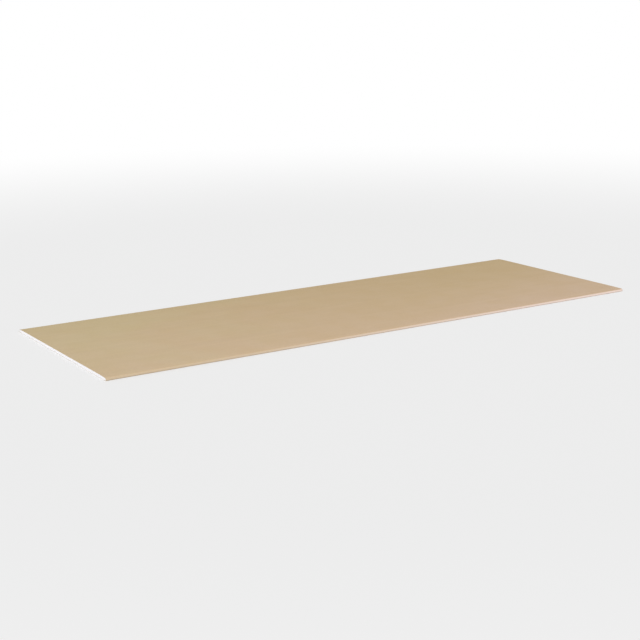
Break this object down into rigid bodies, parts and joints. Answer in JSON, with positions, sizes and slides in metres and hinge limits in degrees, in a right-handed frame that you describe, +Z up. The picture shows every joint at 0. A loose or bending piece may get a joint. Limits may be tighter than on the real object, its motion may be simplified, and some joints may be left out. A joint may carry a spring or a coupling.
{
  "type": "drywall sheet",
  "caption": "Flat gypsum board with a white core between a wrapped face paper and a back paper, tapered half-round long edges and square-cut ends, for lining walls and ceilings.",
  "frame": {"origin": "centre of the sheet's footprint, on the surface that its back lies on", "axes": "+X along the long edges, +Y across the sheet, +Z up out of the face"},
  "size_m": [2.6, 0.9, 0.0125],
  "materials": {
    "gypsum": "matt white gypsum with a fine sawn grain",
    "face_liner": "smooth matt tan liner paper",
    "back_liner": "rougher matt grey-brown liner paper"
  },
  "bodies": {
    "root": {"gypsum_core": "gypsum", "face_paper": "face_liner", "back_paper": "back_liner"}
  },
  "joints": []
}
